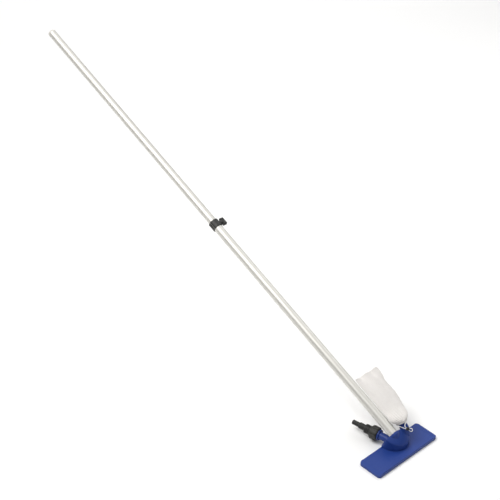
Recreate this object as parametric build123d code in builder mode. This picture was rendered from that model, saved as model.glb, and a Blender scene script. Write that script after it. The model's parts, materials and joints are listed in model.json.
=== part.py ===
from build123d import *
import os
from math import cos, pi, radians, sin, tan

# A jet vacuum head for small pools, on a telescopic pole. The head rests on the floor of the
# pool. Millimetres. The origin is the middle of the head's underside, +X runs along the head,
# +Y points backwards, the way the pole leans, and +Z is up.

os.makedirs("parts", exist_ok=True)

# ---- driving dimensions ----------------------------------------------------------------

# Head tray
head_length = 265
head_depth = 83
head_height = 12
head_corner = 9
wall = 2.5
shoulder_length = 15
shoulder_drop = 3
skirt_depth = 6.5
roof_underside = 9.5

# Throat and cowl, the hood over the throat
throat_x = 20
throat_y = 10
throat_radius = 15
cowl_x = 14
cowl_y = 34
cowl_radius = 48
cowl_back = 41
gasket_thickness = 1
crown_x = 9
crown_y = 52
crown_z = -6
crown_radius = 75

# Pole
pole_x = 0
pole_y = 25.5
pole_z = 53.7
pole_tilt = 24.2
lower_tube_radius = 15
tube_wall = 0.8
lower_tube_length = 896
upper_tube_radius = 14.1
upper_tube_start = 790
pole_length = 1888
button_station = 24

# Pole clamp
clamp_start = 890
clamp_end = 919
clamp_station = 905
clamp_radius = 17.6
knob_length = 30
knob_width = 13

# Hose inlet
inlet_x = -6.4
inlet_y = 35.8
inlet_z = 26.5
inlet_yaw = 9.4
inlet_radius = 12.2
inlet_flange_start = 33
nut_start = 37.5
nut_length = 27
nut_radius = 22.5
thread_radius = 16.5
tail_radius = 15
tail_bore = 6

# Outlet, bag and drawstring
outlet_x = 46
outlet_y = 13.7
outlet_z = 45.3
outlet_tilt = 48
outlet_socket_end = 18
outlet_length = 38
outlet_base_radius = 11.5
outlet_top_radius = 14.5
hem_start = 30
hem_end = 46
bag_thickness = 16
string_radius = 1.2
strand_offset = 1.5
lock_radius = 5.1

running_clearance = 0.08


def direction(tilt):
    """Unit vector that leans back, tilt degrees above the floor."""
    return (0, cos(radians(tilt)), sin(radians(tilt)))


def point_along(frame, distance):
    """Point on a frame's axis."""
    return frame.origin + frame.z_dir * distance


# Local frames. Local z runs up the pole, out of the hose inlet and out of the bag outlet.
pole_frame = Plane(origin=(pole_x, pole_y, pole_z), x_dir=(1, 0, 0), z_dir=direction(pole_tilt))
inlet_direction = (-sin(radians(inlet_yaw)), cos(radians(inlet_yaw)), 0)
inlet_frame = Plane(origin=(inlet_x, inlet_y, inlet_z), x_dir=(0, 0, 1), z_dir=inlet_direction)
outlet_frame = Plane(
    origin=(outlet_x, outlet_y, outlet_z), x_dir=(1, 0, 0), z_dir=direction(outlet_tilt)
)


# ---- helpers ---------------------------------------------------------------------------


def add_rod(frame, radius, start, end, mode=Mode.ADD):
    """Round bar along a frame's axis."""
    with BuildSketch(frame.offset(start)) as section:
        Circle(radius)
    extrude(section.sketch, amount=end - start, mode=mode)


def add_cone(frame, start, start_radius, end, end_radius, mode=Mode.ADD):
    """Cone along a frame's axis."""
    with BuildSketch(frame.offset(start)) as first:
        Circle(start_radius)
    with BuildSketch(frame.offset(end)) as last:
        Circle(end_radius)
    loft([first.sketch, last.sketch], mode=mode)


def add_tube(frame, outer, inner, start, end):
    """Pipe along a frame's axis."""
    with BuildSketch(frame.offset(start)) as section:
        Circle(outer)
        Circle(inner, mode=Mode.SUBTRACT)
    extrude(section.sketch, amount=end - start)


def side_frame(frame, station, sign=1):
    """Frame on the axis at a station, its own z pointing to the side, along plus or minus X."""
    return Plane(origin=point_along(frame, station), x_dir=frame.z_dir, z_dir=(sign, 0, 0))


def add_screws(points, head_top, tip, head_radius, shank_radius, thickness):
    """Pan head screws driven upwards, their heads hanging from head_top."""
    with BuildSketch(Plane.XY.offset(head_top - thickness)) as heads:
        with Locations(*points):
            Circle(head_radius)
    extrude(heads.sketch, amount=thickness)
    with BuildSketch(Plane.XY.offset(head_top)) as shanks:
        with Locations(*points):
            Circle(shank_radius)
    extrude(shanks.sketch, amount=tip - head_top)
    with BuildSketch(Plane.XY.offset(head_top - thickness)) as recesses:
        with Locations(*points):
            Rectangle(head_radius * 1.2, 0.5)
            Rectangle(0.5, head_radius * 1.2)
    extrude(recesses.sketch, amount=thickness / 2, mode=Mode.SUBTRACT)


def save(part, label):
    """Label a finished piece and write its STEP file."""
    part.label = label
    export_step(part, f"parts/{label}.step")


# ---- head tray -------------------------------------------------------------------------

half_length = head_length / 2
end_height = head_height - shoulder_drop
cowl_screw_points = [(cowl_x + side * x, y) for side in (-1, 1) for x, y in ((42, 25), (26, 0))]
cowl_screw_radius = 1.5
cowl_screw_head = 3
cowl_screw_head_height = 2

holder_length = 226
holder_width = 9.5
holder_bottom = 3.5
holder_y = head_depth / 2 - wall - holder_width / 2 - 0.2
bristle_width = 3
bristle_offset = 2.5
bristle_tip = 0.4
screw_offset = -2.2
holder_screw_radius = 1.1
holder_screw_head = 2
holder_screw_recess = 2
holder_screw_tip = head_height - 0.8


def holder_screw_points(side):
    """Places of one holder's screws."""
    return [(x, side * (holder_y + screw_offset)) for x in (-100, 0, 100)]


with BuildPart() as head_shell:
    with BuildSketch(Plane.XZ):
        with BuildLine():
            Polyline(
                (-half_length, 0),
                (half_length, 0),
                (half_length, end_height),
                (half_length - shoulder_length, head_height),
                (-half_length + shoulder_length, head_height),
                (-half_length, end_height),
                close=True,
            )
        make_face()
    extrude(amount=head_depth / 2, both=True)
    fillet(head_shell.edges().filter_by(Axis.Z), head_corner)
    fillet(head_shell.faces().sort_by(Axis.Z)[-1].edges().filter_by(Axis.X), 1.5)
    with BuildSketch():
        RectangleRounded(head_length - 2 * wall, head_depth - 2 * wall, head_corner - wall)
    extrude(amount=skirt_depth, mode=Mode.SUBTRACT)
    with BuildSketch(Plane.XY.offset(skirt_depth)):
        Rectangle(head_length - 2 * shoulder_length - 2 * wall, head_depth - 2 * wall)
    extrude(amount=roof_underside - skirt_depth, mode=Mode.SUBTRACT)
    with BuildSketch(Plane.XY.offset(roof_underside)):
        with Locations((throat_x, throat_y)):
            Circle(throat_radius)
        with Locations(*cowl_screw_points):
            Circle(cowl_screw_radius)
    extrude(amount=head_height, mode=Mode.SUBTRACT)
    # Pilot holes for the holder screws, which stop short of the top.
    with BuildSketch(Plane.XY.offset(roof_underside)):
        with Locations(*(holder_screw_points(-1) + holder_screw_points(1))):
            Circle(holder_screw_radius)
    extrude(amount=holder_screw_tip - roof_underside, mode=Mode.SUBTRACT)
save(head_shell.part, "head_shell")

# ---- brushes under the head ------------------------------------------------------------


def brush_holder(side):
    """Bar screwed under the roof, with a slot for the bristles."""
    with BuildPart() as holder:
        with BuildSketch(Plane.XY.offset(holder_bottom)):
            with Locations((0, side * holder_y)):
                RectangleRounded(holder_length, holder_width, 2)
        extrude(amount=roof_underside - holder_bottom)
        with BuildSketch(Plane.XY.offset(holder_bottom)):
            with Locations((0, side * (holder_y + bristle_offset))):
                Rectangle(holder_length - 8, bristle_width)
        extrude(amount=3, mode=Mode.SUBTRACT)
        with BuildSketch(Plane.XY.offset(holder_bottom)):
            with Locations(*holder_screw_points(side)):
                Circle(holder_screw_head + 0.1)
        extrude(amount=holder_screw_recess, mode=Mode.SUBTRACT)
        with BuildSketch(Plane.XY.offset(holder_bottom)):
            with Locations(*holder_screw_points(side)):
                Circle(holder_screw_radius)
        extrude(amount=roof_underside, mode=Mode.SUBTRACT)
    return holder.part


def bristle_row(side):
    """Dense row of bristles, as one plain block."""
    with BuildPart() as row:
        with BuildSketch(Plane.XY.offset(bristle_tip)):
            with Locations((0, side * (holder_y + bristle_offset))):
                Rectangle(holder_length - 8, bristle_width)
        extrude(amount=holder_bottom + 3 - bristle_tip)
    return row.part


save(brush_holder(-1), "front_brush_holder")
save(brush_holder(1), "rear_brush_holder")
save(bristle_row(-1), "front_bristles")
save(bristle_row(1), "rear_bristles")

with BuildPart() as holder_screws:
    add_screws(
        holder_screw_points(-1) + holder_screw_points(1),
        holder_bottom + holder_screw_recess,
        holder_screw_tip,
        holder_screw_head,
        holder_screw_radius,
        1.4,
    )
save(holder_screws.part, "holder_screws")

# ---- cowl ------------------------------------------------------------------------------

cowl_base = head_height + gasket_thickness
cowl_boss_radius = 3.6
neck_radius = 17.3
neck_length = 7
neck_nose_length = 18
neck_nose_radius = 9
neck_core_radius = 14.3
stub_root_radius = 10
stub_root_depth = 16
stub_pin_radius = 2
outlet_socket_radius = 13.8
outlet_bore = 9.7
outlet_seat_start = 8
outlet_nose_start = -16
outlet_nose_end = 6
outlet_nose_radius = 5
stub_pin_frame = side_frame(pole_frame, -neck_length + 1)


def hood_block(shrink):
    """The hood's outer shape, moved inwards by shrink: a half-round plan, domed on top."""
    with BuildPart() as block:
        with BuildSketch(Plane.XY.offset(cowl_base)):
            with Locations((cowl_x, cowl_y)):
                Circle(cowl_radius - shrink)
            with Locations((cowl_x, cowl_back - shrink)):
                Rectangle(
                    3 * cowl_radius,
                    2 * cowl_radius,
                    align=(Align.CENTER, Align.MIN),
                    mode=Mode.SUBTRACT,
                )
        extrude(amount=80)
        with Locations((crown_x, crown_y, crown_z)):
            Sphere(crown_radius - shrink, mode=Mode.INTERSECT)
        split(bisect_by=pole_frame.offset(-shrink), keep=Keep.BOTTOM)
    return block.part


# The room inside the hood, leaving posts for the screws and a core that holds the pole stub.
with BuildPart() as hood_room:
    add(hood_block(wall))
    with BuildSketch(Plane.XY.offset(cowl_base)):
        with Locations(*cowl_screw_points):
            Circle(cowl_boss_radius)
    extrude(amount=80, mode=Mode.SUBTRACT)
    add_rod(pole_frame, neck_core_radius, -stub_root_depth - 3, 0, mode=Mode.SUBTRACT)

with BuildPart() as cowl:
    add(hood_block(0))
    # Rounded rim where the wall meets the domed top.
    rim = cowl.edges().filter_by(lambda e: abs(e.center().X - cowl_x) < 6).sort_by(Axis.Y)
    fillet(rim.filter_by(lambda e: e.center().Z > cowl_base + 3)[0], 3)
    # Neck that carries the pole, running out into the top as a tapered nose.
    add_rod(pole_frame, neck_radius, -neck_length, 0)
    add_cone(pole_frame, -neck_nose_length, neck_nose_radius, -neck_length, neck_radius)
    # Socket for the bag outlet, running out into the top in the same way.
    add_rod(outlet_frame, outlet_socket_radius, outlet_nose_end, outlet_socket_end)
    add_cone(outlet_frame, outlet_nose_start, outlet_nose_radius, outlet_nose_end,
             outlet_socket_radius)
    add(hood_room.part, mode=Mode.SUBTRACT)
    add_rod(pole_frame, stub_root_radius, -stub_root_depth, 1, mode=Mode.SUBTRACT)
    add_cone(outlet_frame, outlet_nose_start + 2, 3.2, outlet_nose_end - 2, outlet_bore,
             mode=Mode.SUBTRACT)
    add_rod(outlet_frame, outlet_bore, outlet_nose_end - 3, outlet_seat_start + 1,
            mode=Mode.SUBTRACT)
    add_rod(outlet_frame, outlet_base_radius, outlet_seat_start, outlet_socket_end + 1,
            mode=Mode.SUBTRACT)
    add_rod(inlet_frame, inlet_radius, -9, 30, mode=Mode.SUBTRACT)
    with BuildSketch(Plane.XY.offset(cowl_base)):
        with Locations(*cowl_screw_points):
            Circle(cowl_screw_radius)
    extrude(amount=9, mode=Mode.SUBTRACT)
    add_rod(stub_pin_frame, stub_pin_radius, -neck_radius - 5, neck_radius + 5,
            mode=Mode.SUBTRACT)
save(cowl.part, "cowl")

with BuildPart() as cowl_gasket:
    with BuildSketch(Plane.XY.offset(head_height)):
        with Locations((cowl_x, cowl_y)):
            Circle(cowl_radius - 0.6)
            Circle(cowl_radius - 3.4, mode=Mode.SUBTRACT)
        with Locations((cowl_x, cowl_back - 0.6)):
            Rectangle(
                3 * cowl_radius, cowl_radius, align=(Align.CENTER, Align.MIN), mode=Mode.SUBTRACT
            )
        with Locations((cowl_x, cowl_back - 0.6)):
            Rectangle(2 * cowl_radius - 6, 2.8, align=(Align.CENTER, Align.MAX))
    extrude(amount=gasket_thickness)
save(cowl_gasket.part, "cowl_gasket")

with BuildPart() as cowl_screws:
    add_screws(
        cowl_screw_points,
        roof_underside,
        cowl_base + 8,
        cowl_screw_head,
        cowl_screw_radius,
        cowl_screw_head_height,
    )
save(cowl_screws.part, "cowl_screws")

# ---- jet manifold ----------------------------------------------------------------------

chamber_back = -8
jet_bar_radius = 4.5
jet_bar_start = point_along(inlet_frame, chamber_back + 1)
jet_bar_end = Vector(44, 12, 24)
jet_bar_run = jet_bar_end - jet_bar_start
jet_bar_frame = Plane(origin=jet_bar_start, x_dir=(0, 0, 1), z_dir=jet_bar_run)
nozzle_radius = 1.6
nozzle_stations = (jet_bar_run.length - 4, jet_bar_run.length - 9, jet_bar_run.length - 14)


def nozzle_frame(station):
    """Frame at one nozzle, aimed the same way as the outlet."""
    return Plane(
        origin=point_along(jet_bar_frame, station), x_dir=(1, 0, 0), z_dir=outlet_frame.z_dir
    )


thread_end = nut_start + 14.5

with BuildPart() as jet_manifold:
    add_rod(inlet_frame, inlet_radius, chamber_back, nut_start)
    add_rod(inlet_frame, 17.3, inlet_flange_start, inlet_flange_start + 3)
    add_rod(inlet_frame, thread_radius, inlet_flange_start + 3, thread_end)
    chamfer(jet_manifold.faces().sort_by(Axis.Y)[-1].edges(), 1)
    add_rod(jet_bar_frame, jet_bar_radius, 0, jet_bar_run.length)
    add_rod(inlet_frame, inlet_radius - 2.5, chamber_back + 2.5, thread_end, mode=Mode.SUBTRACT)
    add_rod(jet_bar_frame, jet_bar_radius - 1.6, -1, jet_bar_run.length - 1.6, mode=Mode.SUBTRACT)
    for nozzle_station in nozzle_stations:
        add_rod(nozzle_frame(nozzle_station), nozzle_radius, 0, 10, mode=Mode.SUBTRACT)
save(jet_manifold.part, "jet_manifold")

with BuildPart() as jet_nozzles:
    for nozzle_station in nozzle_stations:
        add_tube(nozzle_frame(nozzle_station), nozzle_radius, 0.9, 3.2, 10)
save(jet_nozzles.part, "jet_nozzles")

# ---- hose nut and stepped tail ---------------------------------------------------------

washer_thickness = 2.4
lip_start = nut_start + 20.4
nut_end = nut_start + nut_length
rib_count = 14
tail_flange_end = lip_start - 0.3
tail_step_end = nut_end + 22
tail_middle_end = tail_step_end + 22
tail_tip = tail_middle_end + 25
tail_middle_radius = 10.3
tail_small_radius = 8
barb_land = 1.5

with BuildPart() as inlet_washer:
    add_tube(inlet_frame, thread_radius - 0.2, 9, thread_end, thread_end + washer_thickness)
save(inlet_washer.part, "inlet_washer")

with BuildPart() as hose_nut:
    add_rod(inlet_frame, nut_radius - 1.6, nut_start, nut_end)
    fillet(hose_nut.edges().filter_by(GeomType.CIRCLE), 3)
    with BuildSketch(inlet_frame.offset(nut_start + 3.5)):
        with PolarLocations(nut_radius - 2.6, rib_count):
            RectangleRounded(5.2, 5.6, 2)
    extrude(amount=nut_length - 7)
    add_rod(inlet_frame, thread_radius + running_clearance, nut_start - 1, lip_start,
            mode=Mode.SUBTRACT)
    add_rod(inlet_frame, tail_radius + running_clearance, nut_start - 1, nut_end + 1,
            mode=Mode.SUBTRACT)
save(hose_nut.part, "hose_nut")


def tail_profile():
    """Half section of the tail: radius against distance along the inlet axis."""
    flange_start = thread_end + washer_thickness + 0.1
    flange = thread_radius - 0.3
    points = [
        (tail_bore, flange_start),
        (flange, flange_start),
        (flange, tail_flange_end),
        (tail_radius, tail_flange_end),
        (tail_radius, nut_end + 1),
    ]
    steps = (
        (tail_radius, nut_end + 1, tail_step_end, 4, 1.6),
        (tail_middle_radius, tail_step_end, tail_middle_end, 4, 1.1),
        (tail_small_radius, tail_middle_end, tail_tip, 5, 0.9),
    )
    for radius, start, end, barbs, depth in steps:
        pitch = (end - start) / barbs
        for barb in range(barbs):
            foot = start + barb * pitch
            points.append((radius - depth, foot + 0.25 * pitch))
            points.append((radius, foot + 0.3 * pitch))
            points.append((radius, foot + 0.3 * pitch + barb_land))
            points.append((radius - depth, foot + pitch))
    points.append((tail_bore, tail_tip))
    return points


with BuildPart() as hose_tail:
    with BuildSketch(Plane(origin=inlet_frame.origin, x_dir=(0, 0, 1),
                           z_dir=Vector(0, 0, 1).cross(inlet_frame.z_dir))):
        with BuildLine():
            Polyline(*tail_profile(), close=True)
        make_face()
    revolve(axis=Axis(inlet_frame.origin, inlet_frame.z_dir))
save(hose_tail.part, "hose_tail")

# ---- pole stub with its snap button ----------------------------------------------------

stub_radius = 14.0
stub_bore = 11.6
stub_length = 72
button_radius = 4.2
button_hole_radius = 4.3
button_foot = 9.6
button_tip = 18
button_travel = 3.8

with BuildPart() as pole_stub:
    add_rod(pole_frame, stub_root_radius, -stub_root_depth + 0.5, 0.5)
    add_rod(pole_frame, stub_radius, 0, stub_length)
    chamfer(pole_stub.faces().sort_by(Axis.Y)[-1].edges(), 1)
    add_rod(pole_frame, stub_bore, 6, stub_length, mode=Mode.SUBTRACT)
    add_rod(side_frame(pole_frame, button_station), button_hole_radius, 0, 20,
            mode=Mode.SUBTRACT)
    add_rod(stub_pin_frame, stub_pin_radius, -20, 20, mode=Mode.SUBTRACT)
save(pole_stub.part, "pole_stub")

with BuildPart() as stub_pin:
    add_rod(stub_pin_frame, stub_pin_radius, -neck_radius + 0.6, neck_radius - 0.6)
    chamfer(stub_pin.edges().filter_by(GeomType.CIRCLE), 0.5)
save(stub_pin.part, "stub_pin")


with BuildPart() as snap_button:
    # Domed button with a foot that its spring pushes outwards.
    add_rod(side_frame(pole_frame, button_station), button_radius, button_foot, button_tip)
    fillet(snap_button.faces().sort_by(Axis.X)[-1].edges(), 2.4)
save(snap_button.part, "snap_button")

leaf_thickness = 0.8
leaf_width = 7
leaf_end = button_foot - leaf_thickness / 2 - 0.1
leaf_rest = -10.2
leaf_top = 64

with BuildPart() as snap_spring:
    # A leaf spring bent into a V, one end behind the button, the other on the stub's wall.
    with BuildSketch(Plane(origin=pole_frame.origin, x_dir=pole_frame.x_dir,
                           z_dir=pole_frame.x_dir.cross(pole_frame.z_dir))):
        with BuildLine():
            FilletPolyline(
                (leaf_rest, button_station - 5),
                (leaf_rest, button_station + 5),
                (-3, leaf_top),
                (3, leaf_top),
                (leaf_end, button_station + 5),
                (leaf_end, button_station - 5),
                radius=2.5,
            )
        trace(line_width=leaf_thickness)
    extrude(amount=leaf_width / 2, both=True)
save(snap_spring.part, "snap_spring")

# ---- pole tubes ------------------------------------------------------------------------

lower_tube_start = 0.3
lower_bore = lower_tube_radius - tube_wall
bush_head_length = 15
bush_stem_length = 20

with BuildPart() as lower_tube:
    add_tube(pole_frame, lower_tube_radius, lower_bore, lower_tube_start, lower_tube_length)
    add_rod(side_frame(pole_frame, button_station), button_hole_radius, 0, 20,
            mode=Mode.SUBTRACT)
save(lower_tube.part, "lower_tube")

upper_tube_end = pole_length - 8
upper_bore = upper_tube_radius - tube_wall

with BuildPart() as upper_tube:
    add_tube(pole_frame, upper_tube_radius, upper_bore, upper_tube_start, upper_tube_end)
save(upper_tube.part, "upper_tube")

with BuildPart() as guide_bush:
    bush_head_start = upper_tube_start - bush_head_length
    add_rod(pole_frame, lower_bore - 0.06, bush_head_start, upper_tube_start - 0.1)
    chamfer(guide_bush.edges().filter_by(GeomType.CIRCLE), 0.8)
    add_rod(pole_frame, upper_bore - 0.06, upper_tube_start - 1, upper_tube_start + bush_stem_length)
    add_rod(pole_frame, 9, bush_head_start - 1, upper_tube_start + 30, mode=Mode.SUBTRACT)
save(guide_bush.part, "guide_bush")

with BuildPart() as top_cap:
    add_rod(pole_frame, upper_tube_radius, upper_tube_end, pole_length)
    fillet(top_cap.faces().sort_by(Axis.Z)[-1].edges(), 6)
    add_rod(pole_frame, upper_bore, upper_tube_end - 25, upper_tube_end)
    add_rod(pole_frame, 9, upper_tube_end - 26, upper_tube_end - 3, mode=Mode.SUBTRACT)
save(top_cap.part, "top_cap")

# ---- pole clamp ------------------------------------------------------------------------

knob_axis = side_frame(pole_frame, clamp_station)
boss_radius = 8
boss_end = 24
pad_radius = 3.8
pad_start = upper_tube_radius + 0.05
pad_end = 17
insert_radius = 4.6
insert_start = 19.4
screw_radius = 2.95
knob_start = 25
knob_end = 40
split_width = 4.5
split_angle = 16

with BuildPart() as clamp_collar:
    add_rod(pole_frame, clamp_radius, clamp_start, clamp_end)
    fillet(clamp_collar.edges().filter_by(GeomType.CIRCLE), 1.5)
    add_rod(knob_axis, boss_radius, 0, boss_end)
    add_rod(pole_frame, lower_tube_radius, clamp_start - 1, lower_tube_length, mode=Mode.SUBTRACT)
    add_rod(pole_frame, upper_tube_radius + running_clearance, clamp_start - 1, clamp_end + 1,
            mode=Mode.SUBTRACT)
    add_rod(knob_axis, pad_radius + running_clearance, 0, insert_start, mode=Mode.SUBTRACT)
    add_rod(knob_axis, insert_radius, insert_start, boss_end + 1, mode=Mode.SUBTRACT)
    # The collar is split on the side away from the knob.
    with BuildSketch(pole_frame.offset(clamp_start - 1)):
        with Locations(Rotation(0, 0, 180 + split_angle)):
            Rectangle(clamp_radius + 5, split_width, align=(Align.MIN, Align.CENTER))
    extrude(amount=clamp_end - clamp_start + 2, mode=Mode.SUBTRACT)
save(clamp_collar.part, "clamp_collar")

with BuildPart() as clamp_insert:
    add_tube(knob_axis, insert_radius, screw_radius + 0.05, insert_start, boss_end)
save(clamp_insert.part, "clamp_insert")

with BuildPart() as clamp_screw:
    add_rod(knob_axis, screw_radius, pad_end + 0.05, knob_start + 9)
    chamfer(clamp_screw.faces().sort_by(Axis.X)[0].edges(), 0.4)
save(clamp_screw.part, "clamp_screw")

with BuildPart() as clamp_knob:
    add_rod(knob_axis, 7, knob_start - 0.4, knob_start + 3)
    with BuildSketch(knob_axis.offset(knob_start + 2)):
        SlotOverall(knob_length, knob_width)
    extrude(amount=knob_end - knob_start - 2)
    fillet(clamp_knob.faces().sort_by(Axis.X)[-1].edges(), 2.5)
    # Finger dishes in the two flat sides.
    with BuildSketch(knob_axis.offset(knob_start + 4)):
        with Locations((0, knob_width / 2 + 14.4), (0, -knob_width / 2 - 14.4)):
            Circle(16)
    extrude(amount=knob_end - knob_start, mode=Mode.SUBTRACT)
    add_rod(knob_axis, screw_radius, knob_start - 1, knob_start + 9, mode=Mode.SUBTRACT)
save(clamp_knob.part, "clamp_knob")

with BuildPart() as clamp_pad:
    add_rod(knob_axis, pad_radius, pad_start, pad_end)
save(clamp_pad.part, "clamp_pad")

# ---- bag outlet ------------------------------------------------------------------------

funnel_wall = outlet_base_radius - outlet_bore
bead_radius = outlet_top_radius + 1.4
bead_width = 2.6
flange_end = outlet_socket_end + 2.2

with BuildPart() as outlet_funnel:
    add_rod(outlet_frame, outlet_base_radius, outlet_seat_start + 0.5, outlet_socket_end)
    add_rod(outlet_frame, outlet_socket_radius, outlet_socket_end, flange_end)
    add_cone(outlet_frame, flange_end, outlet_base_radius, outlet_length, outlet_top_radius)
    add_rod(outlet_frame, bead_radius, outlet_length - bead_width, outlet_length)
    fillet(outlet_funnel.faces().sort_by(Axis.Z)[-1].edges(), 1)
    add_rod(outlet_frame, outlet_bore, outlet_seat_start, flange_end, mode=Mode.SUBTRACT)
    add_cone(outlet_frame, flange_end, outlet_bore, outlet_length, outlet_top_radius - funnel_wall,
             mode=Mode.SUBTRACT)
save(outlet_funnel.part, "outlet_funnel")

# ---- filter bag ------------------------------------------------------------------------

hem_bore = bead_radius + 0.4
hem_radius = hem_bore + 1.6

with BuildPart() as bag_hem:
    add_tube(outlet_frame, hem_radius, hem_bore, hem_start, hem_end)
save(bag_hem.part, "bag_hem")

# The bag lies along the pole. Its stations run from the end of the hem, along the pole.
bag_origin = point_along(outlet_frame, hem_end + 0.4)
bag_frame = Plane(origin=bag_origin, x_dir=(1, 0, 0), z_dir=direction(pole_tilt))
bag_normal = Vector(0, -sin(radians(pole_tilt)), cos(radians(pole_tilt)))
bag_left = 13


def bag_section(station, left, right, thickness, sink, tilt):
    """One lens-shaped section of the bag, from beside the pole to its right edge."""
    centre = point_along(bag_frame, station) - bag_normal * sink
    centre += Vector((left + right) / 2 - outlet_x, 0, 0)
    with BuildSketch(Plane(origin=centre, x_dir=(1, 0, 0), z_dir=direction(tilt))) as section:
        Ellipse((right - left) / 2, thickness / 2)
    return section.sketch


with BuildSketch(Plane(origin=bag_origin, x_dir=(1, 0, 0), z_dir=outlet_frame.z_dir)) as mouth:
    Circle(hem_radius - 0.3)

bag_sections = [
    mouth.sketch,
    bag_section(4, 20, 78, 31, 0, 43),
    bag_section(11, 15, 84, 28, 0.5, 38),
    bag_section(26, bag_left, 88, 23, 2.5, 29),
    bag_section(52, bag_left, 97, 19, 3.5, pole_tilt),
    bag_section(97, bag_left, 100, bag_thickness, 3.5, pole_tilt),
    bag_section(142, bag_left, 105, 11, 3.5, pole_tilt),
    bag_section(173, bag_left, 106, 3, 3.5, pole_tilt),
]

with BuildPart() as debris_bag:
    loft(bag_sections, ruled=True)
save(debris_bag.part, "debris_bag")

# ---- drawstring and its lock -----------------------------------------------------------

lock_height = 22
lock_station = 9
lock_angle = radians(251.6)
lock_normal = outlet_frame.x_dir * cos(lock_angle) + outlet_frame.y_dir * sin(lock_angle)
lock_origin = point_along(outlet_frame, lock_station) + lock_normal * lock_height
strand_run = (
    outlet_frame.x_dir * 0.67 - outlet_frame.y_dir * 0.223 - outlet_frame.z_dir * 0.708
)
lock_frame = Plane(origin=lock_origin, x_dir=strand_run, z_dir=lock_normal)


def outlet_point(x, y, station):
    """Point given in the outlet's own frame."""
    return outlet_frame.from_local_coords(Vector(x, y, station))


def lock_point(run, side):
    """Point in the plane of the two strands, seen from the lock."""
    return lock_frame.from_local_coords(Vector(run, side, 0))


# From the left of the hem down to the lock, round the loop, back through the lock and up
# to the front of the hem.
string_route = [
    outlet_point(-16.8, 3, 29),
    outlet_point(-16.4, -1.8, 25),
    outlet_point(-14.8, -6.8, 20.6),
    outlet_point(-15.3, -13, 17.6),
    lock_point(-8, -strand_offset),
    lock_point(5.4, -strand_offset),
    lock_point(10, -4.8),
    lock_point(14, -4.8),
    lock_point(16.8, -2),
    lock_point(16.8, 2),
    lock_point(14, 4.8),
    lock_point(10, 4.8),
    lock_point(5.4, strand_offset),
    lock_point(-6, strand_offset),
    outlet_point(-10.5, -18.9, 19.2),
    outlet_point(-6.9, -18.1, 23),
    outlet_point(0.5, -17.1, 28.7),
]


slack_radius = 24


def corner_radii(route):
    """Largest fair radius at every corner of a route, up to the bend of a slack cord."""
    radii = []
    for before, corner, after in zip(route, route[1:], route[2:]):
        arriving = corner - before
        leaving = after - corner
        half_turn = radians(arriving.get_angle(leaving)) / 2
        fair_radius = 0.45 * min(arriving.length, leaving.length) / tan(half_turn)
        radii.append(min(fair_radius, slack_radius))
    return radii


string_radii = corner_radii(string_route)
print("drawstring corner radii", [round(radius, 2) for radius in string_radii])

with BuildPart() as drawstring:
    with BuildLine() as string_line:
        FilletPolyline(*string_route, radius=string_radii)
    start_frame = Plane(origin=string_line.line @ 0, z_dir=string_line.line % 0)
    with BuildSketch(start_frame) as string_section:
        Circle(string_radius)
    sweep(string_section.sketch, path=string_line.line)
string_length = sum(edge.length for edge in string_line.edges())
string_volume = pi * string_radius**2 * string_length
print("drawstring length", round(string_length, 2))
print("drawstring volume against section times length", drawstring.part.volume, string_volume)
save(drawstring.part, "drawstring")

plunger_radius = 4
plunger_travel = 2.4
lock_bore = plunger_radius + running_clearance
lock_floor = -6.6
lock_foot = lock_floor - 1
lock_rim = 4.6
plunger_bottom = -2.5
plunger_slot_bottom = -string_radius - 0.15
plunger_slot_top = string_radius + plunger_travel + 0.3
plunger_tip = lock_rim + plunger_travel + 1.6
strand_slot = strand_offset + string_radius


def add_slot(width, bottom, top, mode):
    """Opening along the strands, through the lock or its plunger."""
    with BuildSketch(lock_frame.offset(bottom)) as opening:
        Rectangle(4 * lock_radius, 2 * width)
    extrude(opening.sketch, amount=top - bottom, mode=mode)


with BuildPart() as cord_lock_body:
    add_rod(lock_frame, lock_radius, lock_foot, lock_rim)
    chamfer(cord_lock_body.edges().filter_by(GeomType.CIRCLE), 0.6)
    add_rod(lock_frame, lock_bore, lock_floor, lock_rim + 1, mode=Mode.SUBTRACT)
    add_slot(strand_slot + 0.7, -string_radius - 0.5, string_radius + 0.5, Mode.SUBTRACT)
save(cord_lock_body.part, "cord_lock_body")

with BuildPart() as cord_lock_plunger:
    add_rod(lock_frame, plunger_radius, plunger_bottom, plunger_tip)
    plunger_rims = cord_lock_plunger.edges().sort_by(lambda e: e.center().dot(lock_normal))
    fillet(plunger_rims[-1], 1.2)
    add_slot(strand_slot + 0.3, plunger_slot_bottom, plunger_slot_top, Mode.SUBTRACT)
save(cord_lock_plunger.part, "cord_lock_plunger")

spring_wire = 0.25
spring_room = plunger_bottom - lock_floor
spring_turns = 3
spring_radius = 3

with BuildPart() as cord_lock_spring:
    spring_rise = spring_room - 2 * spring_wire - 0.1
    with BuildLine() as coil:
        Helix(
            pitch=spring_rise / spring_turns,
            height=spring_rise,
            radius=spring_radius,
            center=point_along(lock_frame, lock_floor + spring_wire + 0.05),
            direction=lock_normal,
        )
    with BuildSketch(Plane(origin=coil.line @ 0, z_dir=coil.line % 0)) as wire_section:
        Circle(spring_wire)
    sweep(wire_section.sketch, path=coil.line)
save(cord_lock_spring.part, "cord_lock_spring")
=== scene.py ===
import bpy
import json
import math
import random
from mathutils import Matrix, Vector, noise


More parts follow.
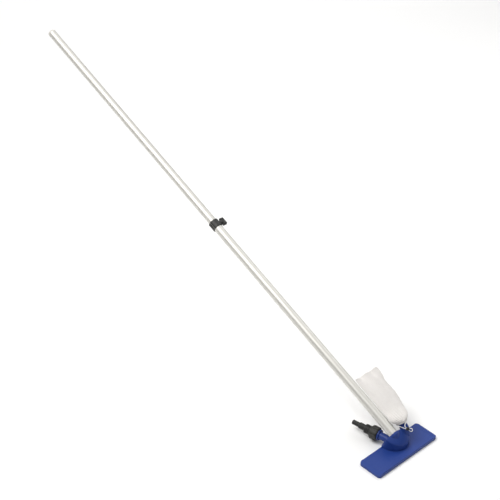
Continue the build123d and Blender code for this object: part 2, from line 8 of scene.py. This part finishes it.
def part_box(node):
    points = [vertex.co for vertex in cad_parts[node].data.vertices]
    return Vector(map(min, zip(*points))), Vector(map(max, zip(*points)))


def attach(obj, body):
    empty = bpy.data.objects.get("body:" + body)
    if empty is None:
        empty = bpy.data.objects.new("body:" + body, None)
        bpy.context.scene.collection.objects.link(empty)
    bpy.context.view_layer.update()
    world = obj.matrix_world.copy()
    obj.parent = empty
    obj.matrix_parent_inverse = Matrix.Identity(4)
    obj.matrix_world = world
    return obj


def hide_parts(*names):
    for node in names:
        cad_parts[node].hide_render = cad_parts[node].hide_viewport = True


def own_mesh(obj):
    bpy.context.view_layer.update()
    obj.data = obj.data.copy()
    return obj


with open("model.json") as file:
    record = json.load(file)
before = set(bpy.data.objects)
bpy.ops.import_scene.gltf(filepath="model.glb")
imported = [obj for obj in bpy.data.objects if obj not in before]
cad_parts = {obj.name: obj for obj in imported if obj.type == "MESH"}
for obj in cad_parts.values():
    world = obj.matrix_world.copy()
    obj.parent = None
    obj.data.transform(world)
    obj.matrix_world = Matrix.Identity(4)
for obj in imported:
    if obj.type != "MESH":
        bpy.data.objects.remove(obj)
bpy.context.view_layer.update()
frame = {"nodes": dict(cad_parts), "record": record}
nodes = frame["nodes"]

# ---- the object's own directions, in the row frame ---------------------------------------

MILLIMETRE = 0.001
POLE_TILT = math.radians(24.2)
POLE_ORIGIN = Vector((0, 0.0255, 0.0537))
POLE_DIRECTION = Vector((0, math.cos(POLE_TILT), math.sin(POLE_TILT)))
POLE_NORMAL = Vector((0, -math.sin(POLE_TILT), math.cos(POLE_TILT)))
OUTLET_TILT = math.radians(48)
OUTLET_ORIGIN = Vector((0.046, 0.0137, 0.0453))
OUTLET_DIRECTION = Vector((0, math.cos(OUTLET_TILT), math.sin(OUTLET_TILT)))
OUTLET_SIDE = Vector((0, math.sin(OUTLET_TILT), -math.cos(OUTLET_TILT)))

# ---- camera ------------------------------------------------------------------------------

CAMERA_PLACE = Vector((-2.1189, -1.64635, 2.4976))
camera_data = bpy.data.cameras.new("view_camera")
camera_data.sensor_width = 36
camera_data.lens = 83.84
camera_data.clip_start = 0.1
camera_data.clip_end = 50
camera = bpy.data.objects.new("view_camera", camera_data)
bpy.context.scene.collection.objects.link(camera)
bpy.context.scene.camera = camera
camera_right = Vector((0.74001606, -0.67258759, 0.00147013))
camera_up = Vector((0.37104645, 0.41006585, 0.83316897))
camera_back = Vector((-0.56098196, -0.61601293, 0.55301655))
camera_turn = Matrix((camera_right, camera_up, camera_back)).transposed()
camera.matrix_world = Matrix.Translation(CAMERA_PLACE) @ camera_turn.to_4x4()

# ---- floor and light ---------------------------------------------------------------------


def link(obj):
    """Puts a new object in the scene."""
    bpy.context.scene.collection.objects.link(obj)
    return obj


def mesh_object(name, verts, faces, smooth=True):
    """Mesh object made from points and faces."""
    mesh = bpy.data.meshes.new(name)
    mesh.from_pydata([tuple(v) for v in verts], [], faces)
    mesh.validate()
    for polygon in mesh.polygons:
        polygon.use_smooth = smooth
    return link(bpy.data.objects.new(name, mesh))


FLOOR_HALF = 12
FLOOR_DROP = 0.0004
floor = mesh_object(
    "floor",
    [(-FLOOR_HALF, -FLOOR_HALF, 0), (FLOOR_HALF, -FLOOR_HALF, 0),
     (FLOOR_HALF, FLOOR_HALF, 0), (-FLOOR_HALF, FLOOR_HALF, 0)],
    [(0, 1, 2, 3)],
)
floor.location.z = -FLOOR_DROP

# The sky is dim near the horizon and bright overhead, so the tubes have darker sides.
world = bpy.data.worlds.new("studio")
bpy.context.scene.world = world
world.use_nodes = True
sky = world.node_tree
sky_height = sky.nodes.new("ShaderNodeSeparateXYZ")
sky_range = sky.nodes.new("ShaderNodeMapRange")
sky_range.inputs["From Min"].default_value = 0.45
sky_range.inputs["From Max"].default_value = 0.95
sky_range.inputs["To Min"].default_value = 0.22
sky_range.inputs["To Max"].default_value = 0.95
sky.links.new(sky.nodes.new("ShaderNodeTexCoord").outputs["Generated"], sky_height.inputs[0])
sky.links.new(sky_height.outputs["Z"], sky_range.inputs["Value"])
sky.links.new(sky_range.outputs["Result"], sky.nodes["Background"].inputs["Strength"])
sky.nodes["Background"].inputs["Color"].default_value = (1, 0.995, 0.985, 1)
bpy.context.scene.view_settings.view_transform = "Standard"


def area_light(name, place, target, size, power, colour=(1, 1, 1)):
    """Large soft light aimed at a point."""
    data = bpy.data.lights.new(name, "AREA")
    data.shape = "DISK"
    data.size = size
    data.energy = power
    data.color = colour
    light = link(bpy.data.objects.new(name, data))
    light.location = place
    light.rotation_mode = "QUATERNION"
    light.rotation_quaternion = (Vector(target) - Vector(place)).to_track_quat("-Z", "Y")
    return light


area_light("key", (-1.5, 1.3, 3.1), (0, 0.5, 0.1), 2.2, 75, (1, 0.99, 0.97))
area_light("side", (2.6, 0.5, 2.3), (0, 0.4, 0.1), 2.0, 22)
# Lights the floor behind the pole's far end, clear of the object.
area_light("far", (3.5, 5.5, 3.5), (3.0, 5.5, 0), 4.0, 110)

# ---- materials ---------------------------------------------------------------------------


class Shader:
    """A node material around one Principled shader."""

    def __init__(self, name, colour, roughness, metallic=0.0, **settings):
        self.material = bpy.data.materials.new(name)
        self.material.use_nodes = True
        self.tree = self.material.node_tree
        self.shader = self.tree.nodes["Principled BSDF"]
        self.shader.inputs["Base Color"].default_value = (*colour, 1)
        self.shader.inputs["Roughness"].default_value = roughness
        self.shader.inputs["Metallic"].default_value = metallic
        for socket, value in settings.items():
            self.shader.inputs[socket.replace("_", " ")].default_value = value
        self.colour = (*colour, 1)
        self.place = self.node("ShaderNodeTexCoord").outputs["Object"]
        self.height = None

    def node(self, kind, **settings):
        made = self.tree.nodes.new(kind)
        for key, value in settings.items():
            setattr(made, key, value)
        return made

    def link(self, output, socket):
        self.tree.links.new(output, socket)

    def mapped(self, scale, rotation=(0, 0, 0), source=None):
        """Coordinates turned, then stretched."""
        turn = self.node("ShaderNodeMapping")
        turn.inputs["Rotation"].default_value = rotation
        self.link(source or self.place, turn.inputs["Vector"])
        stretch = self.node("ShaderNodeMapping")
        stretch.inputs["Scale"].default_value = scale
        self.link(turn.outputs["Vector"], stretch.inputs["Vector"])
        return stretch.outputs["Vector"]

    def wave(self, scale, direction, coordinates, distortion=0.0):
        made = self.node("ShaderNodeTexWave", bands_direction=direction)
        made.inputs["Scale"].default_value = scale
        made.inputs["Distortion"].default_value = distortion
        self.link(coordinates, made.inputs["Vector"])
        return made.outputs["Fac"]

    def greater(self, first, second):
        """The larger of two values."""
        made = self.node("ShaderNodeMath", operation="MAXIMUM")
        self.link(first, made.inputs[0])
        self.link(second, made.inputs[1])
        return made.outputs[0]

    def noise(self, scale, detail=3, coordinates=None, roughness=0.5):
        made = self.node("ShaderNodeTexNoise")
        made.inputs["Scale"].default_value = scale
        made.inputs["Detail"].default_value = detail
        made.inputs["Roughness"].default_value = roughness
        self.link(coordinates or self.place, made.inputs["Vector"])
        return made.outputs["Fac"]

    def ranged(self, value, low, high, start=0.3, end=0.7):
        """Maps a value from start..end to low..high."""
        made = self.node("ShaderNodeMapRange")
        made.inputs["From Min"].default_value = start
        made.inputs["From Max"].default_value = end
        made.inputs["To Min"].default_value = low
        made.inputs["To Max"].default_value = high
        self.link(value, made.inputs["Value"])
        return made.outputs["Result"]

    def tint(self, factor, colour):
        """Mixes another colour over what the base colour is now."""
        socket = self.shader.inputs["Base Color"]
        mix = self.node("ShaderNodeMix", data_type="RGBA")
        if socket.is_linked:
            self.link(socket.links[0].from_socket, mix.inputs[6])
        else:
            mix.inputs[6].default_value = self.colour
        mix.inputs[7].default_value = (*colour, 1)
        self.link(factor, mix.inputs[0])
        self.link(mix.outputs[2], socket)

    def rough(self, value, low, high):
        self.link(self.ranged(value, low, high), self.shader.inputs["Roughness"])

    def bump(self, height, strength, distance):
        made = self.node("ShaderNodeBump")
        made.inputs["Strength"].default_value = strength
        made.inputs["Distance"].default_value = distance
        self.link(height, made.inputs["Height"])
        if self.height is not None:
            self.link(self.height, made.inputs["Normal"])
        self.height = made.outputs["Normal"]
        self.link(self.height, self.shader.inputs["Normal"])

    def paint_edge_highlight(self, colour, amount, start=0.52, end=0.6):
        """Painted highlight: a paler colour mixed in along raised edges."""
        pointiness = self.node("ShaderNodeNewGeometry").outputs["Pointiness"]
        self.tint(self.ranged(pointiness, 0, amount, start, end), colour)


def moulded(name, colour, light, roughness, grain, **settings):
    """Injection moulded plastic: faint flow marks, a fine skin and a painted highlight along
    raised edges.
    """
    made = Shader(name, colour, roughness, **settings)
    flow = made.noise(14, 4)
    made.tint(made.ranged(flow, 0, 0.35), light)
    skin = made.noise(grain, 2)
    scuffs = made.noise(260, 5, made.mapped((1, 0.12, 1)), 0.7)
    made.rough(scuffs, roughness - 0.07, roughness + 0.09)
    made.bump(skin, 0.12, 0.0002)
    # Painted highlight: the paler colour is mixed in along raised edges.
    made.paint_edge_highlight(light, 0.5)
    return made.material


def metal(name, colour, roughness, coordinates_scale, rotation, grain=500):
    """Drawn or turned metal with fine lines one way."""
    made = Shader(name, colour, roughness, 1.0)
    lines = made.noise(grain, 3, made.mapped(coordinates_scale, rotation), 0.6)
    made.rough(lines, roughness - 0.05, roughness + 0.08)
    made.bump(lines, 0.05, 0.0001)
    made.tint(made.ranged(made.noise(9, 3), 0, 0.18), tuple(0.82 * c for c in colour))
    return made


def anodised():
    """Anodised tube: lines along the tube, milky skin, small handling marks."""
    made = metal("anodised", (0.67, 0.66, 0.625), 0.48, (1, 0.02, 1), (-POLE_TILT, 0, 0))
    made.shader.inputs["Metallic"].default_value = 0.75
    marks = made.noise(60, 6, made.mapped((1, 0.4, 1), (-POLE_TILT, 0, 0)), 0.75)
    made.tint(made.ranged(marks, 0, 0.12, 0.62, 0.75), (0.55, 0.54, 0.52))
    return made.material


# A wave texture of scale 1 repeats after this distance.
WAVE_PERIOD = 0.314


def woven(name, colour, shade, pitch, relief):
    """Cloth whose threads follow the piece's own UV map, in metres."""
    made = Shader(name, colour, 0.88, Sheen_Weight=0.25, Sheen_Roughness=0.5)
    uv = made.node("ShaderNodeTexCoord").outputs["UV"]
    weave = made.greater(
        made.wave(WAVE_PERIOD / pitch, "X", uv, 0.4),
        made.wave(WAVE_PERIOD / pitch, "Y", uv, 0.4),
    )
    made.tint(made.ranged(weave, 0.35, 0, 0.1, 0.9), shade)
    made.tint(made.ranged(made.noise(45, 4), 0, 0.2), shade)
    made.bump(weave, 0.35, relief)
    return made.material


BRAID_TURNS = 14


def braided(name, colour, shade):
    """Cord braided from strands that cross on the slant."""
    made = Shader(name, colour, 0.7, Sheen_Weight=0.3, Sheen_Roughness=0.4)
    uv = made.node("ShaderNodeTexCoord").outputs["UV"]
    strands = [
        made.wave(1, "X", made.mapped((BRAID_TURNS, side * 1.3, 1), source=uv))
        for side in (1, -1)
    ]
    braid = made.greater(strands[0], strands[1])
    made.tint(made.ranged(braid, 0.3, 0, 0.1, 0.8), shade)
    made.bump(braid, 0.4, 0.0002)
    return made.material


def rubber(name):
    """Soft black rubber with a fine skin."""
    made = Shader(name, (0.02, 0.02, 0.022), 0.7)
    made.tint(made.ranged(made.noise(80, 4), 0, 0.4), (0.05, 0.05, 0.052))
    made.bump(made.noise(900, 2), 0.2, 0.0002)
    return made.material


MATERIALS = {
    "blue_plastic": moulded(
        "blue_plastic", (0.012, 0.04, 0.215), (0.02, 0.055, 0.27), 0.4, 900,
        Specular_IOR_Level=0.3,
    ),
    "black_plastic": moulded(
        "black_plastic", (0.012, 0.012, 0.011), (0.035, 0.034, 0.032), 0.5, 700
    ),
    "grey_plastic": moulded(
        "grey_plastic", (0.09, 0.095, 0.1), (0.14, 0.145, 0.15), 0.5, 800
    ),
    "pale_plastic": moulded(
        "pale_plastic", (0.55, 0.54, 0.5), (0.66, 0.65, 0.61), 0.45, 800
    ),
    "button_plastic": moulded(
        "button_plastic", (0.12, 0.085, 0.06), (0.2, 0.15, 0.11), 0.4, 800
    ),
    "aluminium": anodised(),
    "steel": metal("steel", (0.55, 0.55, 0.56), 0.3, (1, 1, 0.05), (0, 0, 0)).material,
    "brass": metal("brass", (0.6, 0.43, 0.18), 0.32, (1, 0.05, 1), (0, 0, 0)).material,
    "rubber": rubber("rubber"),
    "bristle": moulded("bristle", (0.62, 0.66, 0.74), (0.8, 0.83, 0.88), 0.45, 1200),
    "bag_fabric": woven("bag_fabric", (0.8, 0.775, 0.755), (0.6, 0.57, 0.55), 0.0011, 0.0003),
    "cord": braided("cord", (0.9, 0.9, 0.9), (0.6, 0.6, 0.6)),
}

floor_look = Shader("floor", (0.93, 0.93, 0.93), 0.8)
floor_look.tint(floor_look.ranged(floor_look.noise(3, 2), 0, 0.1), (0.9, 0.9, 0.9))
floor.data.materials.append(floor_look.material)

for part in frame["record"]["subparts"]:
    cad_object = nodes[part["node"]]
    cad_object.data.materials.clear()
    cad_object.data.materials.append(MATERIALS[part["material_slot"]])

# ---- filter bag --------------------------------------------------------------------------

BAG_ORIGIN = OUTLET_ORIGIN + OUTLET_DIRECTION * 0.0464
OUTLET_X = OUTLET_ORIGIN.x


def hem_row(station, radius, gather):
    """Round ring of cloth about the outlet, from millimetres along and across its axis."""
    centre = OUTLET_ORIGIN + OUTLET_DIRECTION * (station * MILLIMETRE)
    radius *= MILLIMETRE
    return [centre.y, centre.z, OUTLET_X - radius, OUTLET_X + radius, 2 * radius, 48, gather]


def sack_row(station, left, right, thickness, sink, tilt, gather):
    """Flattened ring of cloth, from millimetres along the pole and across it."""
    along, down = station * MILLIMETRE, sink * MILLIMETRE
    centre = BAG_ORIGIN + POLE_DIRECTION * along - POLE_NORMAL * down
    sizes = [size * MILLIMETRE for size in (left, right, thickness)]
    return [centre.y, centre.z, *sizes, tilt, gather]


# The cloth runs from inside the hem, round its lip, over the drawstring and up the sack.
BAG_ROWS = [
    hem_row(42, 16.5, 0),
    hem_row(36, 16.5, 0),
    hem_row(31, 16.6, 0),
    hem_row(29.3, 17.2, 0.1),
    hem_row(29.8, 18.2, 0.3),
    hem_row(31.8, 18.5, 0.4),
    hem_row(33.6, 17.8, 0.5),
    sack_row(-10.5, 25, 66.5, 37, 2.4, 48, 0.8),
    sack_row(-6.5, 19.5, 72, 37.5, 1.4, 48, 1.1),
    sack_row(-2.5, 15, 77.5, 36.5, 0.6, 47, 1.2),
    sack_row(2, 12, 81.5, 34, 0, 45, 1.1),
    sack_row(7, 10.5, 84, 30.5, 0.2, 41, 1),
    sack_row(13, 10.5, 86, 27, 0.8, 37, 0.8),
    sack_row(26, 11, 88.5, 23, 2.5, 29, 0.45),
    sack_row(40, 11.5, 93, 20.5, 3.2, 25.5, 0.2),
    sack_row(55, 12, 97.5, 18.5, 3.5, 24.2, 0),
    sack_row(80, 12, 100.5, 16.5, 3.5, 24.2, 0),
    sack_row(100, 12, 100, 15, 3.5, 24.2, 0),
    sack_row(122, 12, 98.5, 12.5, 3.5, 24.2, 0),
    sack_row(146, 12, 105, 9, 3.5, 24.2, 0),
    sack_row(163, 12, 108.5, 4.5, 3.5, 24.2, 0),
    sack_row(173, 13, 106, 1.6, 3.5, 24.2, 0),
]
CHANNEL_ROW = 6
SEAM_FIRST_ROW = 12
ROW_STEPS = 8
BAG_AROUND = 156
PLEATS = 24
PLEAT_DEPTH = 0.0011
BAG_HALF_WIDTH = 0.094
BAG_LENGTH = 0.195
CREASE_DEPTH = 0.0013
FOLD_DEPTH = 0.0009
END_WAVE_DEPTH = 0.0042
END_WAVE_START = 0.1
END_WAVE_RUN = 0.073


def spline_row(rows, position):
    """Row at a fractional index, on a smooth curve through the rows."""
    index = min(int(position), len(rows) - 2)
    share = position - index
    picked = [rows[min(max(index + k, 0), len(rows) - 1)] for k in (-1, 0, 1, 2)]
    weights = (
        -0.5 * share + share**2 - 0.5 * share**3,
        1 - 2.5 * share**2 + 1.5 * share**3,
        0.5 * share + 2 * share**2 - 1.5 * share**3,
        -0.5 * share**2 + 0.5 * share**3,
    )
    return [sum(w * row[k] for w, row in zip(weights, picked)) for k in range(len(rows[0]))]


def slack(point):
    """Moves a point of the sack out of its plane: small creases, and waves at the far end."""
    run = (point - BAG_ORIGIN).dot(POLE_DIRECTION)
    free = min(max(run / 0.03, 0), 1)
    end = min(max((run - END_WAVE_START) / END_WAVE_RUN, 0), 1) ** 1.5
    across = (point.x - 0.016) / 0.09
    where = Vector((point.x * 55, point.y * 20, point.z * 20))
    crease = CREASE_DEPTH * (noise.noise(where) + 0.5 * noise.noise(where * 2.4))
    fold = FOLD_DEPTH * math.sin(90 * point.x + 0.9 * math.sin(30 * run) + 40 * run)
    wave = END_WAVE_DEPTH * math.cos(2 * math.pi * (2.05 * across - 0.05)) - 0.002
    return point + POLE_NORMAL * ((crease + fold) * free + wave * end)


def bag_point(position, angle):
    """Point of the cloth at a fractional row and an angle round it."""
    y, z, left, right, thickness, tilt, gather = spline_row(BAG_ROWS, position)
    tilt = math.radians(tilt)
    half = (right - left) / 2
    flatness = min(max(1 - thickness / (2 * half), 0), 1)
    rise = math.sin(angle)
    rise = math.copysign(abs(rise) ** (1 + 0.35 * flatness), rise)
    up = Vector((0, -math.sin(tilt), math.cos(tilt)))
    offset = Vector((math.cos(angle) * half, 0, 0)) + up * (rise * thickness / 2)
    pleat = PLEAT_DEPTH * gather * math.cos(PLEATS * angle + 2.2 * math.sin(3 * angle))
    centre = Vector(((left + right) / 2, y, z))
    return slack(centre + offset + offset.normalized() * pleat)


def cloth_object(name, points, faces, uvs):
    """Cloth mesh with one UV place, in metres, for each point."""
    made = mesh_object(name, points, faces)
    layer = made.data.uv_layers.new(name="cloth")
    for loop in made.data.loops:
        layer.data[loop.index].uv = uvs[loop.vertex_index]
    return made


def sack():
    """The sack and its turned-in hem: one skin, open at the mouth and shut at its far end."""
    rows = (len(BAG_ROWS) - 1) * ROW_STEPS + 1
    count = BAG_AROUND
    points, uvs = [], []
    for row in range(rows):
        for column in range(count):
            angle = 2 * math.pi * column / count
            points.append(bag_point(row / ROW_STEPS, angle))
            folded = min(column, count - column) / (count / 2)
            uvs.append((folded * BAG_HALF_WIDTH, row / rows * BAG_LENGTH))
    faces = []
    for row in range(rows - 1):
        for column in range(count):
            near, far = row * count, (row + 1) * count
            following = (column + 1) % count
            faces.append((near + column, near + following, far + following, far + column))
    end = (rows - 1) * count
    faces.append((end, end + 1, end + count - 1))
    for column in range(1, count // 2 - 1):
        faces.append((end + column, end + column + 1,
                      end + count - column - 1, end + count - column))
    faces.append((end + count // 2 - 1, end + count // 2, end + count // 2 + 1))
    return cloth_object("filter_bag", points, faces, uvs)


SEAM_STEPS_ALONG = 110
SEAM_STEPS_ACROSS = 90
SEAM_WIDTH = 0.0032
SEAM_THICKNESS = 0.0007
SEAM_OVERLAP = 0.001
SEAM_RIPPLE = 0.0005
SEAM_UV_STEP = 0.002


def seam_path():
    """Points along the sewn right edge of the sack and on across its far end."""
    last = len(BAG_ROWS) - 1
    path = [
        bag_point(SEAM_FIRST_ROW + (last - SEAM_FIRST_ROW) * k / SEAM_STEPS_ALONG, 0)
        for k in range(SEAM_STEPS_ALONG + 1)
    ]
    for k in range(1, SEAM_STEPS_ACROSS + 1):
        angle = math.pi * k / SEAM_STEPS_ACROSS
        path.append((bag_point(last, angle) + bag_point(last, -angle)) / 2)
    return path


def seam_frames(path):
    """(point, outward direction) along the seam."""
    frames = []
    for k, point in enumerate(path):
        before, after = path[max(k - 3, 0)], path[min(k + 3, len(path) - 1)]
        outward = (after - before).cross(POLE_NORMAL).normalized()
        frames.append((point, outward))
    return frames


def seam(frames):
    """Flat sewn edge standing out from the sack."""
    points, uvs, faces = [], [], []
    half = POLE_NORMAL * (SEAM_THICKNESS / 2)
    for k, (point, outward) in enumerate(frames):
        ripple = POLE_NORMAL * (SEAM_RIPPLE * math.sin(k * 0.55))
        taper = min(k / 10, (len(frames) - 1 - k) / 4, 1)
        inner = point - outward * SEAM_OVERLAP
        outer = point + (outward * SEAM_WIDTH + ripple) * taper
        points += [inner - half, outer - half * 0.8, outer + half * 0.8, inner + half]
        uvs += [(across, k * SEAM_UV_STEP) for across in (0, SEAM_WIDTH, SEAM_WIDTH, 0)]
    for k in range(len(frames) - 1):
        for c in range(4):
            following = (c + 1) % 4
            faces.append((4 * k + c, 4 * k + following, 4 * k + 4 + following, 4 * k + 4 + c))
    faces += [(3, 2, 1, 0), tuple(4 * (len(frames) - 1) + c for c in range(4))]
    return cloth_object("bag_seam", points, faces, uvs)


STITCH_SIDES = 6
STITCH_RADIUS = 0.0002
HEM_STITCHES = 66
HEM_STITCH_RADIUS = 0.00025


def stitch(points, faces, start, end, radius):
    """Adds one short rounded thread between two points."""
    along = (end - start).normalized()
    side = along.orthogonal().normalized()
    other = along.cross(side)
    base = len(points)
    rings = ((0, 0.4), (0.15, 1), (0.85, 1), (1, 0.4))
    for share, width in rings:
        for k in range(STITCH_SIDES):
            turn = 2 * math.pi * k / STITCH_SIDES
            round_it = side * math.cos(turn) + other * math.sin(turn)
            points.append(start.lerp(end, share) + round_it * (radius * width))
    for ring in range(len(rings) - 1):
        near = base + STITCH_SIDES * ring
        far = near + STITCH_SIDES
        for k in range(STITCH_SIDES):
            following = (k + 1) % STITCH_SIDES
            faces.append((near + k, near + following, far + following, far + k))
    last = base + STITCH_SIDES * (len(rings) - 1)
    faces.append(tuple(base + k for k in range(STITCH_SIDES - 1, -1, -1)))
    faces.append(tuple(last + k for k in range(STITCH_SIDES)))


def bag_stitches(frames):
    """Rows of stitches along the seam and round the hem above the drawstring."""
    points, faces = [], []
    for k in range(0, len(frames) - 2, 2):
        for side in (1, -1):
            lift = POLE_NORMAL * (side * SEAM_THICKNESS * 0.55)
            start = frames[k][0] + frames[k][1] * (SEAM_WIDTH * 0.45) + lift
            end = frames[k + 1][0] + frames[k + 1][1] * (SEAM_WIDTH * 0.45) + lift
            stitch(points, faces, start, end, STITCH_RADIUS)
    for k in range(HEM_STITCHES):
        pair = []
        for share in (0.2, 0.75):
            angle = 2 * math.pi * (k + share) / HEM_STITCHES
            place = bag_point(CHANNEL_ROW, angle)
            centre = Vector((OUTLET_X, *spline_row(BAG_ROWS, CHANNEL_ROW)[:2]))
            pair.append(place + (place - centre).normalized() * STITCH_RADIUS)
        stitch(points, faces, *pair, HEM_STITCH_RADIUS)
    return mesh_object("bag_stitches", points, faces)


def finish_piece(piece, material, *replaced):
    """Gives a new piece its material and body, and hides the CAD nodes that it stands for."""
    piece.data.materials.append(MATERIALS[material])
    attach(piece, "head")
    if replaced:
        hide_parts(*replaced)


bag = sack()
finish_piece(bag, "bag_fabric", "debris_bag", "bag_hem")
edge_frames = seam_frames(seam_path())
bag_edge = seam(edge_frames)
finish_piece(bag_edge, "bag_fabric")
bag_thread = bag_stitches(edge_frames)
finish_piece(bag_thread, "cord")

# ---- bristles ----------------------------------------------------------------------------

TUFT_PITCH = 0.0046
FILAMENTS = 16
FILAMENT_RADIUS = 0.00016
FILAMENT_SIDES = 5
TUFT_ROOT_RADIUS = 0.0009
TUFT_TIP_X = 0.0021
TUFT_TIP_Y = 0.0013


def bristle_row(node, seed):
    """Tufts of nylon filaments filling the space of a CAD bristle row."""
    low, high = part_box(node)
    draw = random.Random(seed)
    tufts = int((high.x - low.x) / TUFT_PITCH)
    points, faces = [], []
    for tuft in range(tufts):
        x = low.x + (tuft + 0.5) * (high.x - low.x) / tufts
        y = (low.y + high.y) / 2
        for _ in range(FILAMENTS):
            turn = draw.uniform(0, 2 * math.pi)
            spread = math.sqrt(draw.random())
            lean = Vector((math.cos(turn), math.sin(turn), 0)) * spread
            root = Vector((x, y, high.z)) + lean * TUFT_ROOT_RADIUS
            tip = Vector((x, y, low.z + draw.uniform(0, 0.0004)))
            tip += Vector((lean.x * TUFT_TIP_X, lean.y * TUFT_TIP_Y, 0))
            middle = (root + tip) / 2 + lean * 0.0001
            base = len(points)
            for place, width in ((root, 1), (middle, 1), (tip, 0.55)):
                for k in range(FILAMENT_SIDES):
                    corner = 2 * math.pi * k / FILAMENT_SIDES
                    across = Vector((math.cos(corner), math.sin(corner), 0))
                    points.append(place + across * (FILAMENT_RADIUS * width))
            for ring in (0, 1):
                near = base + ring * FILAMENT_SIDES
                far = near + FILAMENT_SIDES
                for k in range(FILAMENT_SIDES):
                    following = (k + 1) % FILAMENT_SIDES
                    faces.append((near + k, far + k, far + following, near + following))
            last = base + 2 * FILAMENT_SIDES
            faces.append(tuple(base + k for k in range(FILAMENT_SIDES)))
            faces.append(tuple(last + k for k in range(FILAMENT_SIDES - 1, -1, -1)))
    tufted = mesh_object(node.replace("bristles", "tufts"), points, faces)
    finish_piece(tufted, "bristle", node)


bristle_row("front_bristles", 11)
bristle_row("rear_bristles", 12)

# ---- drawstring --------------------------------------------------------------------------

LOCK_ANGLE = math.radians(251.6)
LOCK_NORMAL = Vector((math.cos(LOCK_ANGLE), 0, 0)) + OUTLET_SIDE * math.sin(LOCK_ANGLE)
LOCK_ORIGIN = OUTLET_ORIGIN + OUTLET_DIRECTION * 0.009 + LOCK_NORMAL * 0.022
STRAND_RUN = (
    Vector((0.67, 0, 0)) - OUTLET_SIDE * 0.223 - OUTLET_DIRECTION * 0.708
).normalized()
STRAND_SIDE = LOCK_NORMAL.cross(STRAND_RUN)


def outlet_point(x, y, station):
    """Point in the outlet's own frame, given in millimetres."""
    local = Vector((x, 0, 0)) + OUTLET_SIDE * y + OUTLET_DIRECTION * station
    return OUTLET_ORIGIN + local * MILLIMETRE


def lock_point(run, side):
    """Point in the plane of the two strands, in millimetres from the lock."""
    return LOCK_ORIGIN + (STRAND_RUN * run + STRAND_SIDE * side) * MILLIMETRE


string_route = [
    outlet_point(-16.8, 3, 29),
    outlet_point(-16.4, -1.8, 25),
    outlet_point(-14.8, -6.8, 20.6),
    outlet_point(-15.3, -13, 17.6),
    lock_point(-8, -1.5),
    lock_point(5.4, -1.5),
    lock_point(10, -4.8),
    lock_point(14, -4.8),
    lock_point(16.8, -2),
    lock_point(16.8, 2),
    lock_point(14, 4.8),
    lock_point(10, 4.8),
    lock_point(5.4, 1.5),
    lock_point(-6, 1.5),
    outlet_point(-10.5, -18.9, 19.2),
    outlet_point(-6.9, -18.1, 23),
    outlet_point(0.5, -17.1, 28.7),
]
string_curve = bpy.data.curves.new("drawstring_cord", "CURVE")
string_curve.dimensions = "3D"
string_curve.resolution_u = 8
string_curve.bevel_depth = 0.0012
string_curve.bevel_resolution = 4
string_spline = string_curve.splines.new("NURBS")
string_spline.points.add(len(string_route) - 1)
for point, place in zip(string_spline.points, string_route):
    point.co = (*place, 1)
string_spline.order_u = 3
string_spline.use_endpoint_u = True
drawstring = link(bpy.data.objects.new("drawstring_cord", string_curve))
finish_piece(drawstring, "cord", "drawstring")

# ---- springs under the buttons of the cord lock and the pole's snap ----------------------


def spring_piece(name, path, facing, outline, node):
    """Steel wire or strip swept along a path, its section kept square to facing."""
    points, faces = [], []
    count = len(outline)
    for k, place in enumerate(path):
        along = (path[min(k + 1, len(path) - 1)] - path[max(k - 1, 0)]).normalized()
        side = along.cross(facing).normalized()
        out = side.cross(along)
        points += [place + out * a + side * b for a, b in outline]
    for k in range(len(path) - 1):
        for c in range(count):
            near, far = k * count, (k + 1) * count
            following = (c + 1) % count
            faces.append((near + c, near + following, far + following, far + c))
    faces.append(tuple(range(count - 1, -1, -1)))
    faces.append(tuple((len(path) - 1) * count + c for c in range(count)))
    made = mesh_object(name, points, faces, smooth=count > 4)
    finish_piece(made, "steel", node)
    return made


COIL_RADIUS = 0.003
COIL_WIRE = 0.00025
COIL_TURNS = 3
STEPS_PER_TURN = 24
WIRE_SIDES = 8
COIL_FLOOR = -0.0063
COIL_RISE = 0.0035
coil_base = LOCK_ORIGIN + LOCK_NORMAL * COIL_FLOOR


def coil_direction(turn):
    """Direction from the lock's axis at an angle round it."""
    return STRAND_RUN * math.cos(turn) + STRAND_SIDE * math.sin(turn)


coil_steps = STEPS_PER_TURN * COIL_TURNS
coil_path = [
    coil_base
    + LOCK_NORMAL * (COIL_RISE * k / coil_steps)
    + coil_direction(2 * math.pi * COIL_TURNS * k / coil_steps) * COIL_RADIUS
    for k in range(coil_steps + 1)
]
round_wire = [
    (COIL_WIRE * math.cos(corner), COIL_WIRE * math.sin(corner))
    for corner in (2 * math.pi * k / WIRE_SIDES for k in range(WIRE_SIDES))
]
coil = spring_piece("lock_coil", coil_path, LOCK_NORMAL, round_wire, "cord_lock_spring")
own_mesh(coil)

LEAF_HALF_WIDTH = 0.0035
LEAF_HALF_THICKNESS = 0.0004
LEAF_CORNERS = [(-0.0102, 0.019), (-0.0102, 0.029), (-0.003, 0.064), (0.003, 0.064),
                (0.0091, 0.029), (0.0091, 0.019)]
LEAF_BEND = 0.0025


def rounded(corners, radius, steps=6):
    """Flat path through corners, each rounded by a curve that starts radius before it."""
    path = [corners[0]]
    for before, corner, after in zip(corners, corners[1:], corners[2:]):
        here = Vector(corner)
        arriving = (Vector(before) - here).normalized() * radius
        leaving = (Vector(after) - here).normalized() * radius
        for k in range(steps + 1):
            t = k / steps
            path.append(here + arriving * (1 - t) ** 2 + leaving * t**2)
    return path + [corners[-1]]


leaf_path = [
    POLE_ORIGIN + Vector((x, 0, 0)) + POLE_DIRECTION * station
    for x, station in rounded(LEAF_CORNERS, LEAF_BEND)
]
strip = [(-LEAF_HALF_WIDTH, -LEAF_HALF_THICKNESS), (LEAF_HALF_WIDTH, -LEAF_HALF_THICKNESS),
         (LEAF_HALF_WIDTH, LEAF_HALF_THICKNESS), (-LEAF_HALF_WIDTH, LEAF_HALF_THICKNESS)]
leaf = spring_piece("snap_leaf", leaf_path, POLE_NORMAL, strip, "snap_spring")
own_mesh(leaf)
